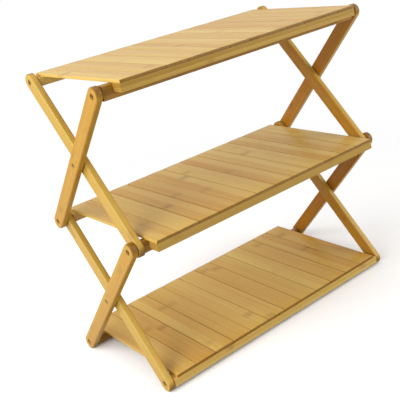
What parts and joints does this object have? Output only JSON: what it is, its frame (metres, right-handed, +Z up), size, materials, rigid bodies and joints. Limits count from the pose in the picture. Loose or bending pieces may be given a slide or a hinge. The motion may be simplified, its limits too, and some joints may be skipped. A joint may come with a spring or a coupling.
{
  "type": "folding bookstand rack",
  "caption": "Low folding rack of bamboo: crossed, pinned legs at each end carry slatted shelves that turn on one edge and hook over a rail at the other.",
  "frame": {"origin": "centre of the footprint at the floor, under the feet", "axes": "+X along the shelves, +Y to the back, +Z up; -Y faces the open front"},
  "size_m": [0.5, 0.2689, 0.4687],
  "materials": {
    "bamboo_legs": "varnished bamboo strips, glossy",
    "bamboo_rails": "varnished bamboo strips, satin",
    "bamboo_battens": "varnished bamboo strips, satin",
    "bamboo_slats": "varnished bamboo strips, glossy",
    "steel_screws": "plain steel, slightly dulled"
  },
  "bodies": {
    "lower_inner_frame": {"lower_inner_leg_left": "bamboo_legs", "lower_inner_leg_right": "bamboo_legs", "lower_cross_pins": "steel_screws"},
    "lower_outer_frame": {"lower_outer_leg_left": "bamboo_legs", "lower_outer_leg_right": "bamboo_legs", "middle_front_rail": "bamboo_rails", "bottom_back_rail": "bamboo_rails", "lower_frame_screws": "steel_screws"},
    "upper_outer_frame": {"upper_outer_leg_left": "bamboo_legs", "upper_outer_leg_right": "bamboo_legs", "top_front_rail": "bamboo_rails", "top_front_screws": "steel_screws"},
    "upper_inner_frame": {"upper_inner_leg_left": "bamboo_legs", "upper_inner_leg_right": "bamboo_legs", "upper_cross_pins": "steel_screws"},
    "top_shelf": {"top_pivot_batten": "bamboo_battens", "top_hook_batten": "bamboo_battens", "top_back_screws": "steel_screws", "top_slat_1": "bamboo_slats", "top_slat_2": "bamboo_slats", "top_slat_3": "bamboo_slats", "top_slat_4": "bamboo_slats", "top_slat_5": "bamboo_slats", "top_slat_6": "bamboo_slats", "top_slat_7": "bamboo_slats", "top_slat_8": "bamboo_slats", "top_slat_9": "bamboo_slats", "top_slat_10": "bamboo_slats", "top_slat_11": "bamboo_slats", "top_slat_12": "bamboo_slats"},
    "middle_shelf": {"middle_pivot_batten": "bamboo_battens", "middle_hook_batten": "bamboo_battens", "middle_back_screws": "steel_screws", "middle_slat_1": "bamboo_slats", "middle_slat_2": "bamboo_slats", "middle_slat_3": "bamboo_slats", "middle_slat_4": "bamboo_slats", "middle_slat_5": "bamboo_slats", "middle_slat_6": "bamboo_slats", "middle_slat_7": "bamboo_slats", "middle_slat_8": "bamboo_slats", "middle_slat_9": "bamboo_slats", "middle_slat_10": "bamboo_slats", "middle_slat_11": "bamboo_slats", "middle_slat_12": "bamboo_slats"},
    "bottom_shelf": {"bottom_pivot_batten": "bamboo_battens", "bottom_hook_batten": "bamboo_battens", "bottom_front_screws": "steel_screws", "bottom_slat_1": "bamboo_slats", "bottom_slat_2": "bamboo_slats", "bottom_slat_3": "bamboo_slats", "bottom_slat_4": "bamboo_slats", "bottom_slat_5": "bamboo_slats", "bottom_slat_6": "bamboo_slats", "bottom_slat_7": "bamboo_slats", "bottom_slat_8": "bamboo_slats", "bottom_slat_9": "bamboo_slats", "bottom_slat_10": "bamboo_slats", "bottom_slat_11": "bamboo_slats", "bottom_slat_12": "bamboo_slats"}
  },
  "joints": [
    {"name": "fold", "type": "hinge", "parent": "lower_inner_frame", "child": "lower_outer_frame", "pos_m": [0, 0, 0.12261], "axis": [-1, 0, 0], "range_deg": [0, 72]},
    {"name": "upper_outer_fold", "type": "hinge", "parent": "lower_inner_frame", "child": "upper_outer_frame", "pos_m": [0, 0.101, 0.23261], "axis": [-1, 0, 0], "range_deg": [0, 72]},
    {"name": "upper_inner_fold", "type": "hinge", "parent": "upper_outer_frame", "child": "upper_inner_frame", "pos_m": [0, 0, 0.34261], "axis": [1, 0, 0], "range_deg": [0, 72]},
    {"name": "top_shelf_turn", "type": "hinge", "parent": "upper_inner_frame", "child": "top_shelf", "pos_m": [0, 0.101, 0.45261], "axis": [-1, 0, 0], "range_deg": [0, 132.6]},
    {"name": "middle_shelf_turn", "type": "hinge", "parent": "upper_outer_frame", "child": "middle_shelf", "pos_m": [0, 0.101, 0.23261], "axis": [-1, 0, 0], "range_deg": [0, 46]},
    {"name": "bottom_shelf_turn", "type": "hinge", "parent": "lower_inner_frame", "child": "bottom_shelf", "pos_m": [0, -0.101, 0.01261], "axis": [1, 0, 0], "range_deg": [0, 46]}
  ],
  "couplings": [
    {"joint": "upper_outer_fold", "follows": "fold", "ratio": 1},
    {"joint": "upper_inner_fold", "follows": "fold", "ratio": 1},
    {"joint": "top_shelf_turn", "follows": "fold", "ratio": 1.84}
  ]
}
